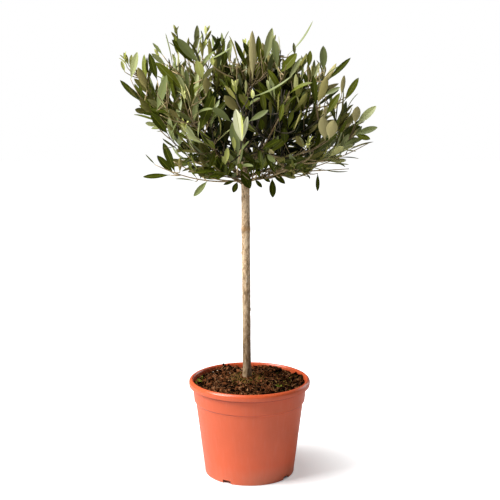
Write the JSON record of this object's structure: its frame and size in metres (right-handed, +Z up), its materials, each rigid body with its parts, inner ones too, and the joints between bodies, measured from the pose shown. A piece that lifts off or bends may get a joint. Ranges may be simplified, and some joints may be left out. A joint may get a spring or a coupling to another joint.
{
  "type": "potted standard olive tree",
  "caption": "Young olive tree grown as a standard: a loose round head of narrow leaves on a bare straight stem, in a round tapered plastic pot filled with soil.",
  "frame": {"origin": "middle of the pot's flat underside, on the surface that the pot stands on", "axes": "+Z up along the trunk; -Y towards the front of the plant, +X to its right as seen from the front"},
  "size_m": [0.377, 0.3935, 0.7093],
  "materials": {
    "pot_plastic": "satin moulded plastic in a terracotta colour",
    "soil": "dark fibrous potting compost",
    "trunk_bark": "smooth grey-brown bark with fine upright streaks",
    "bough_bark": "smooth pale tan bark",
    "leaves": "leathery grey-green leaves, paler beneath"
  },
  "bodies": {
    "root": {"pot": "pot_plastic", "soil": "soil", "trunk": "trunk_bark", "bough_01": "bough_bark", "bough_02": "bough_bark", "bough_03": "bough_bark", "bough_04": "bough_bark", "bough_05": "bough_bark", "bough_06": "bough_bark", "bough_07": "bough_bark", "bough_08": "bough_bark", "bough_09": "bough_bark", "bough_10": "bough_bark", "bough_11": "bough_bark", "bough_12": "bough_bark", "bough_13": "bough_bark", "leaf_mass_01": "leaves", "leaf_mass_02": "leaves", "leaf_mass_03": "leaves", "leaf_mass_04": "leaves", "leaf_mass_05": "leaves", "leaf_mass_06": "leaves", "leaf_mass_07": "leaves", "leaf_mass_08": "leaves", "leaf_mass_09": "leaves", "leaf_mass_10": "leaves", "leaf_mass_11": "leaves", "leaf_mass_12": "leaves", "leaf_mass_13": "leaves"}
  },
  "joints": []
}
